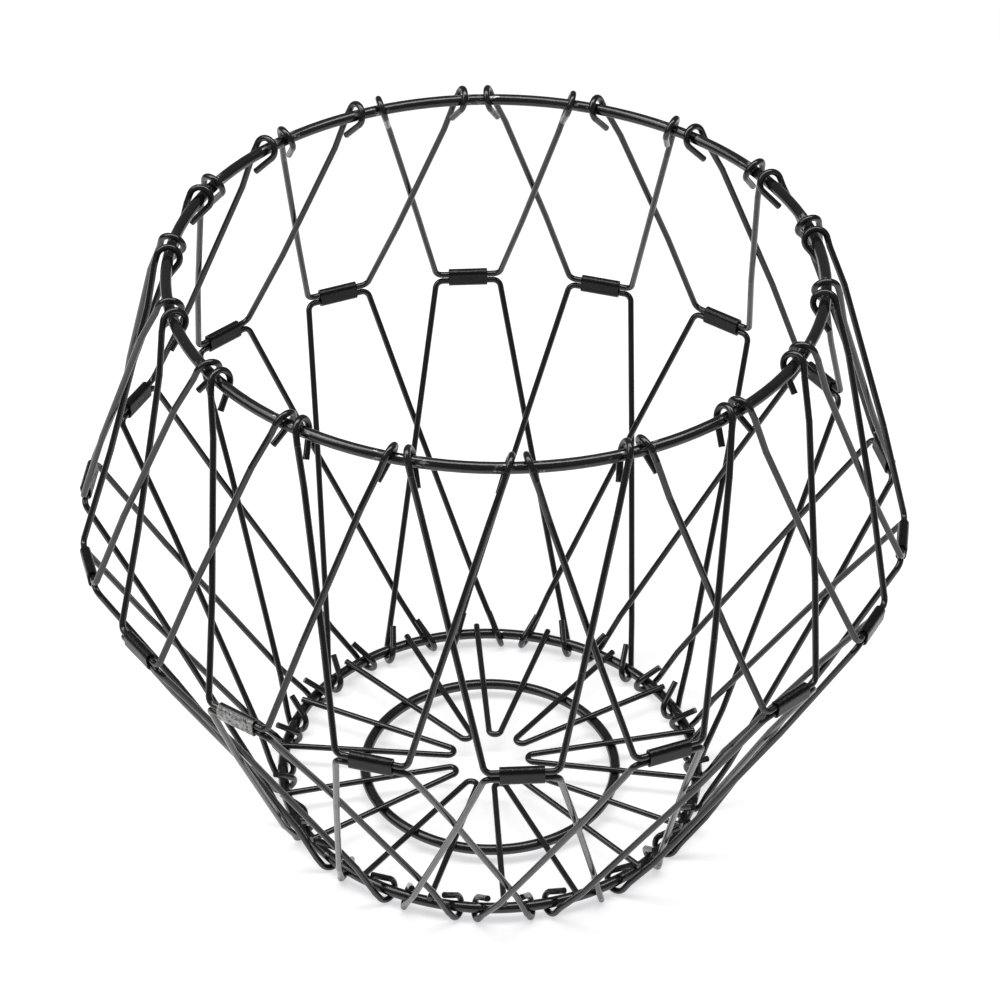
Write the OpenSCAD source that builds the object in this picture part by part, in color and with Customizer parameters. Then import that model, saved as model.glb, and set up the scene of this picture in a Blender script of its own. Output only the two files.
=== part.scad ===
// Collapsible wire basket: a top ring and a bottom ring joined by eighteen pairs of hinged wire links.
// Origin: on the floor under the middle of the bottom ring. Z is up, -Y is the side nearest the viewer.
// All sizes are in millimetres and all angles in degrees.

// Node to build, or "all"

/* [Rings] */
// Outer diameter of the top ring
top_ring_d = 200; // [160:1:260]
// Outer diameter of the bottom ring
bottom_ring_d = 140; // [100:1:200]
// Outer diameter of the inner ring of the floor
inner_ring_d = 86; // [50:1:120]
// Wire diameter of the three rings
ring_wire = 3.5; // [2.5:0.1:5]

/* [Links] */
// Number of link pairs round the basket
link_count = 18; // [12:2:24]
// Wire diameter of the links
link_wire = 2.0; // [1.2:0.1:3]
// Length of a lower link, from its run to its eyes
lower_leg = 125.5; // [90:0.1:160]
// Length of an upper link, from its run to its eyes
upper_leg = 92.7; // [60:0.1:130]
// Half of the distance between the two legs at the sleeve
run_half = 10.7; // [8:0.1:16]
// Half of the distance between a lower link's legs at its eyes
lower_spread = 31.2; // [24:0.1:40]
// Half of the distance between an upper link's legs at its eyes
upper_spread = 30.7; // [24:0.1:40]
// Bend radius between the run and a leg, on the wire's axis
bend_radius = 2.6; // [1.5:0.1:5]
// How far a leg bows out of its link's plane, to pass its neighbours
leg_bow = 1.25; // [1:0.05:2]
// Where a leg reaches its full bow, as a share of its length from the run
bow_share = 0.33; // [0.2:0.01:0.5]
// Where a leg leaves its full bow, as a distance from its eye
bow_end = 16; // [8:0.5:20]
// Straight length of a leg next to its eye
eye_straight = 3; // [2:0.5:6]

/* [Hook eyes] */
// Clear width inside an eye
eye_width = 5.0; // [4.6:0.1:8]
// Length of the tail that closes an eye
tail_length = 7.5; // [5:0.5:14]
// Angle at which the tail closes towards its leg
tail_closing = 24; // [0:1:30]
// Angle that turns a lower eye square to the bottom ring
lower_toe_in = 16; // [0:1:30]
// Angle that turns an upper eye square to the top ring
upper_toe_in = 14; // [0:1:30]
// How far the arch of a lower eye lies beyond the ring's axis
lower_seat = 0.3; // [-1:0.1:2]
// How far the arch of an upper eye lies beyond the ring's axis
upper_seat = 0.3; // [-1:0.1:2]

/* [Sleeves] */
// Length of a sleeve
sleeve_length = 13; // [8:0.5:18]
// Wall thickness of a sleeve
sleeve_wall = 0.5; // [0.4:0.05:1.5]
// Clearance between a run and the sleeve's bore
sleeve_clearance = 0.15; // [0.05:0.05:0.4]
// Gap between the two runs in a sleeve
run_gap = 0.39; // [0.2:0.01:1]
// Room in a sleeve's bore, in which the runs draw apart as the basket folds
slot_room = 0.31; // [0.1:0.01:0.6]

/* [Floor spokes] */
// Wire diameter of the hairpin spokes
spoke_wire = 2.0; // [1.2:0.1:3]
// Distance of a hairpin's tip from the middle of the floor
spoke_tip = 12.5; // [6:0.5:25]
// Radius of a hairpin's tip, on the wire's axis
spoke_tip_radius = 2.0; // [1.5:0.1:5]
// How far a spoke's cut end passes the bottom ring's axis
spoke_overhang = 1.4; // [0:0.1:6]
// How deep a spoke is welded into the rings
weld_depth = 0.25; // [0.1:0.05:0.6]

/* [Pose] */
// Lean of the lower links from upright
lower_lean = 31.8; // [20:0.5:80]
// Lean of the two runs in a sleeve, from one above the other
stack_lean = 5; // [-20:1:40]
// Azimuth of the first link pair
first_azimuth = -5.65; // [-180:0.05:180]
// How far the link pairs have slid along the rings towards the viewer
crowding = -1.2; // [-4:0.1:4]

/* [Hidden] */
$fn = 48;
// A joint bead is this much thicker than its wire, so that two lengths of wire always meet
bead = 0.06;
top_ring_r = (top_ring_d - ring_wire) / 2;
bottom_ring_r = (bottom_ring_d - ring_wire) / 2;
inner_ring_r = (inner_ring_d - ring_wire) / 2;
eye_radius = (eye_width + link_wire) / 2;
run_spacing = link_wire + run_gap;
slot_spacing = run_spacing + slot_room;
bore = link_wire + 2 * sleeve_clearance;
sleeve_d = bore + 2 * sleeve_wall;
floor_count = link_count / 2;

// The middle of an eye in its link's own frame: along the run, up the leg and off the legs' plane
function splay(leg, spread) = atan2(spread - run_half, leg);
function eye_middle(leg, spread, toe) = [
    spread - eye_radius * sin(toe) * cos(splay(leg, spread)),
    leg + eye_radius * sin(toe) * sin(splay(leg, spread)),
    eye_radius * cos(toe)
];
lower_eye = eye_middle(lower_leg, lower_spread, lower_toe_in);
upper_eye = eye_middle(upper_leg, upper_spread, upper_toe_in);

// Distance of each hinge chord from the basket's axis
lower_chord = sqrt(pow(bottom_ring_r, 2) - pow(lower_eye.x, 2));
upper_chord = sqrt(pow(top_ring_r, 2) - pow(upper_eye.x, 2));
// Distance from a link's run to its hinge chord
lower_reach = norm([lower_eye.y, lower_eye.z]);
upper_reach = norm([upper_eye.y, upper_eye.z]);
// Lean of the legs' plane
lower_leg_lean = lower_lean - atan2(lower_eye.z, lower_eye.y);

// How steeply a lower leg, and the width of its eye, rise from the floor
leg_rise = cos(lower_leg_lean) * cos(splay(lower_leg, lower_spread));
eye_rise = sin(lower_leg_lean) * cos(lower_toe_in)
    - cos(lower_leg_lean) * sin(lower_toe_in) * sin(splay(lower_leg, lower_spread));
// Height of the bottom ring's axis, at which the lower eyes stand on the floor
ring_z = link_wire / 2 + eye_radius * norm([leg_rise, eye_rise]) + lower_seat * leg_rise;

// Runs in the radial plane: distance from the axis, and height
lower_run = [lower_chord + lower_reach * sin(lower_lean), ring_z + lower_reach * cos(lower_lean)];
upper_run = lower_run + run_spacing * [sin(stack_lean), cos(stack_lean)];
upper_lean = asin((upper_run.x - upper_chord) / upper_reach);
upper_leg_lean = upper_lean - atan2(upper_eye.z, upper_eye.y);
rim_z = upper_run.y + upper_reach * cos(upper_lean);
spoke_z = ring_z + ring_wire / 2 + spoke_wire / 2 - weld_depth;

function even_azimuth(i) = first_azimuth + i * 360 / link_count;
function azimuth(i) = even_azimuth(i) + crowding * cos(even_azimuth(i));
function unit(v) = v / norm(v);
function name_of(kind, i) = str(kind, i < 9 ? "_0" : "_", i + 1);

echo(rim_height = rim_z, belt_radius = upper_run.x, belt_height = upper_run.y, ring_height = ring_z);
echo(lower_chord = lower_chord, upper_chord = upper_chord, lower_reach = lower_reach,
     upper_reach = upper_reach, upper_lean = upper_lean);

// Puts its children in the frame with the given origin and the given x and y directions
module in_frame(origin, x, y) {
    z = cross(x, y);
    multmatrix([
        [x.x, y.x, z.x, origin.x],
        [x.y, y.y, z.y, origin.y],
        [x.z, y.z, z.z, origin.z],
        [0, 0, 0, 1]
    ]) children();
}

// Straight wire from one point to another
module rod(a, b, d) {
    v = b - a;
    translate(a)
        rotate([0, acos(v.z / norm(v)), atan2(v.y, v.x)])
            cylinder(h = norm(v), d = d);
}

module joint_bead(p, d) {
    translate(p) sphere(d = d + bead);
}

// Part of a wire ring
module arc(r, angle, d) {
    rotate_extrude(angle = angle) translate([r, 0]) circle(d = d);
}

// Length of straight wire that a bend of radius r takes off each side of a corner
function corner_trim(d1, d2, r) = r * tan(acos(d1 * d2) / 2);

// Bend at corner p, coming in along d1 and going out along d2, with a bead at each end
module corner(p, d1, d2, r, d) {
    inward = unit(d2 - d1 * (d1 * d2));
    start = p - d1 * corner_trim(d1, d2, r);
    in_frame(start + inward * r, -inward, d1) arc(r, acos(d1 * d2), d);
    joint_bead(start, d);
    joint_bead(p + d2 * corner_trim(d1, d2, r), d);
}

// One side of a link: bend, bowed leg, hook eye and tail. The bow is towards the ring when side is 1.
module link_side(leg, spread, toe, seat, side) {
    lean = splay(leg, spread);
    length = norm([spread - run_half, leg]);
    along = [side * sin(lean), cos(lean), 0];
    inward = [-side * sin(toe) * cos(lean), sin(toe) * sin(lean), cos(toe)];
    bow = [0, 0, side * leg_bow];
    foot = [side * run_half, 0, 0];
    full = foot + along * length * bow_share + bow;
    leave = foot + along * (length - bow_end) + bow;
    neck = foot + along * (length - eye_straight);
    crown = foot + along * (length + seat);
    middle = crown + inward * eye_radius;
    outward = [side, 0, 0];
    rise = unit(full - foot);
    tail_dir = -along * cos(tail_closing) - inward * sin(tail_closing);
    tail = middle + eye_radius * (inward * cos(tail_closing) - along * sin(tail_closing));

    corner(foot, outward, rise, bend_radius, link_wire);
    rod(foot + rise * corner_trim(outward, rise, bend_radius), full, link_wire);
    joint_bead(full, link_wire);
    rod(full, leave, link_wire);
    joint_bead(leave, link_wire);
    rod(leave, neck, link_wire);
    joint_bead(neck, link_wire);
    rod(neck, crown, link_wire);
    joint_bead(crown, link_wire);
    in_frame(middle, -inward, along) arc(eye_radius, 180 + tail_closing, link_wire);
    joint_bead(tail, link_wire);
    rod(tail, tail + tail_dir * (tail_length + seat), link_wire);
}

// A whole link in its own frame: x along the run, y up the legs, z towards the ring
module link(leg, spread, toe, seat) {
    rise = unit([spread - run_half, leg, leg_bow / bow_share]);
    trim = corner_trim([1, 0, 0], rise, bend_radius);
    rod([-run_half + trim, 0, 0], [run_half - trim, 0, 0], link_wire);
    for (side = [-1, 1]) link_side(leg, spread, toe, seat, side);
}

module upper_link(i) {
    color("#202022")
        rotate([0, 0, azimuth(i)])
            in_frame([upper_run.x, 0, upper_run.y], [0, -1, 0], [-sin(upper_leg_lean), 0, cos(upper_leg_lean)])
                link(upper_leg, upper_spread, upper_toe_in, upper_seat);
}

module lower_link(i) {
    color("#202022")
        rotate([0, 0, azimuth(i)])
            in_frame([lower_run.x, 0, lower_run.y], [0, 1, 0], [-sin(lower_leg_lean), 0, -cos(lower_leg_lean)])
                link(lower_leg, lower_spread, lower_toe_in, lower_seat);
}

// Oval round two circles, one above the other
module oval(d) {
    circle(d = d);
    translate([0, slot_spacing]) circle(d = d);
    translate([-d / 2, 0]) square([d, slot_spacing]);
}

module sleeve(i) {
    color("#161617")
        rotate([0, 0, azimuth(i)])
            in_frame([lower_run.x, 0, lower_run.y], [cos(stack_lean), 0, -sin(stack_lean)],
                     [sin(stack_lean), 0, cos(stack_lean)])
                linear_extrude(height = sleeve_length, center = true)
                    difference() {
                        oval(sleeve_d);
                        oval(bore);
                    }
}

module ring(r, z) {
    color("#1b1b1d")
        translate([0, 0, z])
            rotate_extrude() translate([r, 0]) circle(d = ring_wire);
}

// One hairpin: two legs along the azimuths of two neighbouring links, and a round tip
module hairpin(first, second) {
    mid = (azimuth(first) + azimuth(second)) / 2;
    half = (azimuth(second) - azimuth(first)) / 2;
    end_r = bottom_ring_r + spoke_overhang;
    tip_middle = spoke_tip + spoke_tip_radius;
    end = [end_r * cos(half), end_r * sin(half), 0];
    // The legs touch the tip's circle
    reach = end - [tip_middle, 0, 0];
    away = atan2(reach.y, reach.x) - asin(spoke_tip_radius / norm(reach));
    touch = [tip_middle - spoke_tip_radius * sin(away), spoke_tip_radius * cos(away), 0];
    rotate([0, 0, mid]) translate([0, 0, spoke_z]) {
        for (side = [-1, 1]) {
            rod([touch.x, side * touch.y, 0], [end.x, side * end.y, 0], spoke_wire);
            joint_bead([touch.x, side * touch.y, 0], spoke_wire);
        }
        translate([tip_middle, 0, 0])
            rotate([0, 0, 90 + away])
                arc(spoke_tip_radius, 180 - 2 * away, spoke_wire);
    }
}

module floor_spokes() {
    color("#202022")
        for (i = [0 : floor_count - 1]) hairpin(2 * i, 2 * i + 1);
}

ring(top_ring_r, rim_z);  // top_ring
ring(bottom_ring_r, ring_z);  // bottom_ring
ring(inner_ring_r, ring_z);  // inner_ring
floor_spokes();
for (i = [0 : link_count - 1]) {
    upper_link(i);
    lower_link(i);
    sleeve(i);
}
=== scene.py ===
"""Looks of the black wire basket: coated wire, worn spots, a white studio and the photograph's camera."""
import math

import bpy
from mathutils import Matrix, Vector

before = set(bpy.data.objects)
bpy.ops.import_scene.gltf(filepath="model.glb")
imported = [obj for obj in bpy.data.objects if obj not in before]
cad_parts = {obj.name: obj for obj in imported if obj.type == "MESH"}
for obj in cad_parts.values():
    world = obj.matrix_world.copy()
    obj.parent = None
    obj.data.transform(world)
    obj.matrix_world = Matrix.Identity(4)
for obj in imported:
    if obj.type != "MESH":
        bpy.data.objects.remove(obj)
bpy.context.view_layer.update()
scene = bpy.context.scene
scene.view_settings.view_transform = "Standard"

# Places on the basket, as in the part's source: degrees and metres
FIRST_AZIMUTH = -5.65
LINK_STEP = 20.0
# Azimuth of the hook eyes from the middle of the nearest link
TOP_EYES = 2.3
BOTTOM_EYES = 6.3
# Distance of a sleeve's outer face from the basket's axis, and how far under it the wear ends and is full
SLEEVE_FACE = 0.1291
WEAR_ENDS = 0.0007
WEAR_FULL = 0.0002
# The one sleeve whose outer face is rubbed through
WORN_SLEEVE = "sleeve_13"

BLACK = (0.0050, 0.0050, 0.0054, 1.0)
GREY_BLACK = (0.0105, 0.0103, 0.0108, 1.0)
STEEL = (0.42, 0.42, 0.41, 1.0)
# Index of refraction of the glossy coating on the wire, and of the duller one on the sleeves
WIRE_IOR = 1.62
SLEEVE_IOR = 1.38

# Patterns in the coating, from coarse to fine: how many to a metre
PATCH_SCALE = 60.0
RUB_SCALE = 110.0
RIPPLE_SCALE = 230.0
SHEEN_SCALE = 240.0
WIRE_GRAIN = 900.0
WORN_GRAIN = 1100.0
SLEEVE_GRAIN = 1400.0
PEEL_SCALE = 1500.0
NOISE_MIDDLE = 0.5
# Strength and depth of the two bumps: the fine orange peel and the wider ripple
WIRE_PEEL = 0.08
SLEEVE_PEEL = 0.32
PEEL_DEPTH = 0.0003
RIPPLE = 0.08
RIPPLE_DEPTH = 0.0008
# How much the shade differs from wire to wire, how much the coating's roughness varies,
# and how much rougher and more metallic the bare steel is
WIRE_SHADES = 0.5
SHEEN_SPREAD = 0.10
STEEL_DULLNESS = 0.15
STEEL_METAL = 0.7
# How much more a ring is rubbed at the eyes, how much the rubbing varies from place to place,
# and how far its pattern is drawn out along a ring
EYE_RUB = 0.14
RUB_SPREAD = 0.22
STREAK = 0.03
# Distances from an eye, in steps from link to link, between which the rubbing fades out
RUB_NEAR = 0.04
RUB_FAR = 0.18

# Brightness of the studio round the table: as light on the object, and as gloss shows it
AMBIENT = 0.27
CEILING = 0.16
# The table: half its side, the radii between which it goes over into white, and its colours
TABLE_HALF = 0.75
WHITE_FROM = 0.25
WHITE_TO = 0.60
TABLE_BOUNCE = (0.72, 0.72, 0.73, 1.0)
TABLE_SHADE = (0.60, 0.595, 0.58, 1.0)
TABLE_GLOW = (0.97, 0.97, 1.0, 1.0)
GLOW_STRENGTH = 0.60

# The photograph's camera, found from the rings and the sleeves: pixels, metres and degrees
FRAME_WIDTH = 1000.0
FOCAL_PIXELS = 3699.9
DISTANCE = 1.1549
ELEVATION = 37.266
ROLL = 0.792
TARGET = (0.00207, 0.0, 0.11446)


class Graph:
    """Short calls for building one material's nodes."""

    def __init__(self, name):
        self.material = bpy.data.materials.new(name)
        self.material.use_nodes = True
        self.tree = self.material.node_tree
        self.tree.nodes.clear()
        self.coords = self.node("ShaderNodeTexCoord").outputs["Object"]

    def node(self, kind, **settings):
        made = self.tree.nodes.new(kind)
        for key, value in settings.items():
            setattr(made, key, value)
        return made

    def feed(self, socket, value):
        """Link a socket to another node, or set its own value."""
        if isinstance(value, bpy.types.NodeSocket):
            self.tree.links.new(value, socket)
        else:
            socket.default_value = value

    def math(self, operation, *values, clamp=False):
        made = self.node("ShaderNodeMath", operation=operation, use_clamp=clamp)
        for socket, value in zip(made.inputs, values):
            self.feed(socket, value)
        return made.outputs[0]

    def noise(self, scale, detail, roughness=0.5, vector=None):
        made = self.node("ShaderNodeTexNoise")
        self.feed(made.inputs["Vector"], vector or self.coords)
        made.inputs["Scale"].default_value = scale
        made.inputs["Detail"].default_value = detail
        made.inputs["Roughness"].default_value = roughness
        return made.outputs["Fac"]

    def ramp(self, value, low, high, to_low=0.0, to_high=1.0):
        made = self.node("ShaderNodeMapRange", interpolation_type="SMOOTHSTEP")
        self.feed(made.inputs["Value"], value)
        made.inputs["From Min"].default_value = low
        made.inputs["From Max"].default_value = high
        made.inputs["To Min"].default_value = to_low
        made.inputs["To Max"].default_value = to_high
        return made.outputs["Result"]

    def mix(self, factor, a, b):
        """Mix two colours."""
        made = self.node("ShaderNodeMix", data_type="RGBA")
        self.feed(made.inputs["Factor"], factor)
        self.feed(made.inputs[6], a)
        self.feed(made.inputs[7], b)
        return made.outputs[2]

    def bump(self, height, strength, distance, normal=None):
        made = self.node("ShaderNodeBump")
        made.inputs["Strength"].default_value = strength
        made.inputs["Distance"].default_value = distance
        self.feed(made.inputs["Height"], height)
        if normal is not None:
            self.feed(made.inputs["Normal"], normal)
        return made.outputs["Normal"]

    def finish(self, surface):
        out = self.node("ShaderNodeOutputMaterial")
        self.feed(out.inputs["Surface"], surface)
        return self.material


class Round:
    """A point's place round the basket: its azimuth, its distance from the axis and its height."""

    def __init__(self, graph):
        self.graph = graph
        xyz = graph.node("ShaderNodeSeparateXYZ")
        graph.feed(xyz.inputs[0], graph.coords)
        self.height = xyz.outputs["Z"]
        self.turn = graph.math("ARCTAN2", xyz.outputs["Y"], xyz.outputs["X"])
        squares = [graph.math("MULTIPLY", xyz.outputs[axis], xyz.outputs[axis]) for axis in "XY"]
        self.radius = graph.math("SQRT", graph.math("ADD", *squares))

    def near_eyes(self, eyes):
        """One where a ring passes through a pair of hook eyes, fading to nothing between the pairs."""
        graph = self.graph
        start = graph.math("SUBTRACT", self.turn, math.radians(FIRST_AZIMUTH))
        steps = graph.math("DIVIDE", start, math.radians(LINK_STEP))
        offset = graph.math("ABSOLUTE", graph.math("WRAP", steps, 0.5, -0.5))
        away = graph.math("ABSOLUTE", graph.math("SUBTRACT", offset, eyes / LINK_STEP))
        return graph.ramp(away, RUB_NEAR, RUB_FAR, to_low=1.0, to_high=0.0)

    def along_ring(self):
        """Coordinates that are short along a ring, so that a pattern is drawn out into streaks."""
        made = self.graph.node("ShaderNodeCombineXYZ")
        shortened = self.graph.math("MULTIPLY", self.turn, STREAK)
        for socket, value in zip(made.inputs, (shortened, self.radius, self.height)):
            self.graph.feed(socket, value)
        return made.outputs[0]


def worn_places(graph, wear_from, wear_to, eyes, face, grain):
    """One where the coating is rubbed through: at hook eyes, on a sleeve's face, or in a few specks."""
    place = Round(graph)
    drawn_out = place.along_ring() if eyes is not None else None
    rubbed = graph.noise(grain, detail=4.0, roughness=0.65, vector=drawn_out)
    if eyes is not None:
        rubbed = graph.math("ADD", rubbed, graph.math("MULTIPLY", place.near_eyes(eyes), EYE_RUB))
    uneven = graph.math("SUBTRACT", graph.noise(RUB_SCALE, detail=1.0), NOISE_MIDDLE)
    broad = graph.math("MULTIPLY", uneven, RUB_SPREAD)
    wear = graph.ramp(graph.math("ADD", rubbed, broad), wear_from, wear_to)
    if face is not None:
        on_face = graph.ramp(place.radius, face - WEAR_ENDS, face - WEAR_FULL)
        wear = graph.math("MULTIPLY", wear, on_face)
    return wear


def coated_wire(name, gloss, wear_from, wear_to, eyes=None, face=None, grain=WIRE_GRAIN, patch=GREY_BLACK,
                ior=WIRE_IOR, peel=WIRE_PEEL):
    """Black coating with a fine orange peel, slight patches of shade, and spots rubbed through to steel."""
    graph = Graph(name)
    info = graph.node("ShaderNodeObjectInfo")
    patches = graph.ramp(graph.noise(PATCH_SCALE, detail=3.0), low=0.35, high=0.7)
    own_shade = graph.math("MULTIPLY", info.outputs["Random"], WIRE_SHADES)
    coat = graph.mix(graph.math("ADD", patches, own_shade, clamp=True), BLACK, patch)
    wear = worn_places(graph, wear_from, wear_to, eyes, face, grain)

    spread = graph.noise(SHEEN_SCALE, detail=3.0)
    sheen = graph.ramp(spread, low=0.3, high=0.7, to_low=gloss, to_high=gloss + SHEEN_SPREAD)
    dullness = graph.math("MULTIPLY", wear, STEEL_DULLNESS)
    skin = graph.bump(graph.noise(PEEL_SCALE, detail=2.0), peel, PEEL_DEPTH)
    normal = graph.bump(graph.noise(RIPPLE_SCALE, detail=1.0), RIPPLE, RIPPLE_DEPTH, skin)

    shader = graph.node("ShaderNodeBsdfPrincipled")
    graph.feed(shader.inputs["Base Color"], graph.mix(wear, coat, STEEL))
    graph.feed(shader.inputs["Roughness"], graph.math("ADD", sheen, dullness))
    graph.feed(shader.inputs["Metallic"], graph.math("MULTIPLY", wear, STEEL_METAL))
    graph.feed(shader.inputs["Normal"], normal)
    shader.inputs["IOR"].default_value = ior
    return graph.finish(shader.outputs["BSDF"])


def dress_basket():
    """Give every node of the frame its coating."""
    top_ring = coated_wire("top_ring_coating", gloss=0.12, wear_from=0.68, wear_to=0.78, eyes=TOP_EYES)
    bottom_ring = coated_wire("bottom_ring_coating", gloss=0.14, wear_from=0.72, wear_to=0.82,
                              eyes=BOTTOM_EYES)
    floor = coated_wire("floor_coating", gloss=0.15, wear_from=0.84, wear_to=0.92)
    link = coated_wire("link_coating", gloss=0.12, wear_from=0.82, wear_to=0.92)
    sleeve = coated_wire("sleeve_coating", gloss=0.22, wear_from=0.74, wear_to=0.90, grain=SLEEVE_GRAIN,
                         patch=BLACK, ior=SLEEVE_IOR, peel=SLEEVE_PEEL)
    worn = coated_wire("worn_sleeve_coating", gloss=0.26, wear_from=0.34, wear_to=0.56, face=SLEEVE_FACE,
                       grain=WORN_GRAIN)
    own = {
        "top_ring": top_ring,
        "bottom_ring": bottom_ring,
        "inner_ring": floor,
        "floor_spokes": floor,
        WORN_SLEEVE: worn,
    }
    for node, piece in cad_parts.items():
        usual = sleeve if node.startswith("sleeve") else link
        piece.data.materials.clear()
        piece.data.materials.append(own.get(node, usual))


def shows_background(tree):
    """One for the rays that show the background: from the camera, and in gloss and glass."""
    path = tree.nodes.new("ShaderNodeLightPath")
    seen = path.outputs["Is Camera Ray"]
    for kind in ("Is Glossy Ray", "Is Transmission Ray"):
        either = tree.nodes.new("ShaderNodeMath")
        either.operation = "MAXIMUM"
        tree.links.new(seen, either.inputs[0])
        tree.links.new(path.outputs[kind], either.inputs[1])
        seen = either.outputs[0]
    return seen


def white_table():
    """A white table: it bounces light as paper does, and where it is seen it is white with soft shadows."""
    graph = Graph("white_table")
    bounce = graph.node("ShaderNodeBsdfDiffuse")
    bounce.inputs["Color"].default_value = TABLE_BOUNCE
    shade = graph.node("ShaderNodeBsdfDiffuse")
    shade.inputs["Color"].default_value = TABLE_SHADE
    glow = graph.node("ShaderNodeEmission")
    glow.inputs["Color"].default_value = TABLE_GLOW
    glow.inputs["Strength"].default_value = GLOW_STRENGTH
    near = graph.node("ShaderNodeAddShader")
    graph.feed(near.inputs[0], shade.outputs[0])
    graph.feed(near.inputs[1], glow.outputs[0])
    # Towards its edge the table is as white as the background behind it
    white = graph.node("ShaderNodeEmission")
    white.inputs["Strength"].default_value = 1.0
    shown = graph.node("ShaderNodeMixShader")
    graph.feed(shown.inputs["Fac"], graph.ramp(Round(graph).radius, WHITE_FROM, WHITE_TO))
    graph.feed(shown.inputs[1], near.outputs[0])
    graph.feed(shown.inputs[2], white.outputs[0])
    mixed = graph.node("ShaderNodeMixShader")
    graph.feed(mixed.inputs["Fac"], shows_background(graph.tree))
    graph.feed(mixed.inputs[1], bounce.outputs[0])
    graph.feed(mixed.inputs[2], shown.outputs[0])
    return graph.finish(mixed.outputs[0])


def add_table(half):
    mesh = bpy.data.meshes.new("table")
    corners = [(-half, -half, 0.0), (half, -half, 0.0), (half, half, 0.0), (-half, half, 0.0)]
    mesh.from_pydata(corners, [], [(0, 1, 2, 3)])
    mesh.materials.append(white_table())
    table = bpy.data.objects.new("table", mesh)
    scene.collection.objects.link(table)


def add_world():
    """A studio that is white behind the table, and dim where gloss shows what is round and above it."""
    world = bpy.data.worlds.new("studio")
    world.use_nodes = True
    scene.world = world
    tree = world.node_tree
    tree.nodes.clear()
    path = tree.nodes.new("ShaderNodeLightPath")
    level = tree.nodes.new("ShaderNodeMix")
    level.inputs["A"].default_value = AMBIENT
    level.inputs["B"].default_value = CEILING
    tree.links.new(shows_background(tree), level.inputs["Factor"])
    strength = tree.nodes.new("ShaderNodeMix")
    strength.inputs["B"].default_value = 1.0
    tree.links.new(path.outputs["Is Camera Ray"], strength.inputs["Factor"])
    tree.links.new(level.outputs["Result"], strength.inputs["A"])
    background = tree.nodes.new("ShaderNodeBackground")
    background.inputs["Color"].default_value = (1.0, 1.0, 1.0, 1.0)
    tree.links.new(strength.outputs["Result"], background.inputs["Strength"])
    out = tree.nodes.new("ShaderNodeOutputWorld")
    tree.links.new(background.outputs[0], out.inputs["Surface"])


def add_softbox(name, place, turn, size, power):
    """A rectangular lamp that shines straight down before it is turned by the given degrees."""
    lamp = bpy.data.lights.new(name, "AREA")
    lamp.shape = "RECTANGLE"
    lamp.size, lamp.size_y = size
    lamp.energy = power
    holder = bpy.data.objects.new(name, lamp)
    holder.location = place
    holder.rotation_euler = [math.radians(angle) for angle in turn]
    scene.collection.objects.link(holder)


def add_camera():
    """The photograph's camera, which looks from -Y and from above."""
    elevation = math.radians(ELEVATION)
    roll = math.radians(ROLL)
    back = Vector((0.0, -math.cos(elevation), math.sin(elevation)))
    side = Vector((1.0, 0.0, 0.0))
    up = back.cross(side)
    right = math.cos(roll) * side + math.sin(roll) * up
    top = math.cos(roll) * up - math.sin(roll) * side
    lens = bpy.data.cameras.new("camera")
    lens.sensor_fit = "HORIZONTAL"
    lens.sensor_width = 36.0
    lens.lens = FOCAL_PIXELS * lens.sensor_width / FRAME_WIDTH
    lens.clip_start = 0.01
    camera = bpy.data.objects.new("camera", lens)
    turn = Matrix((right, top, back)).transposed().to_4x4()
    camera.matrix_world = Matrix.Translation(Vector(TARGET) + back * DISTANCE) @ turn
    scene.collection.objects.link(camera)
    scene.camera = camera


dress_basket()
add_table(TABLE_HALF)
add_world()
add_softbox("overhead", place=(0.0, 0.1, 1.4), turn=(0.0, 0.0, 0.0), size=(1.7, 0.52), power=14.0)
add_softbox("left", place=(-0.9, -0.1, 1.0), turn=(0.0, -42.0, 6.0), size=(0.8, 0.8), power=5.0)
add_camera()
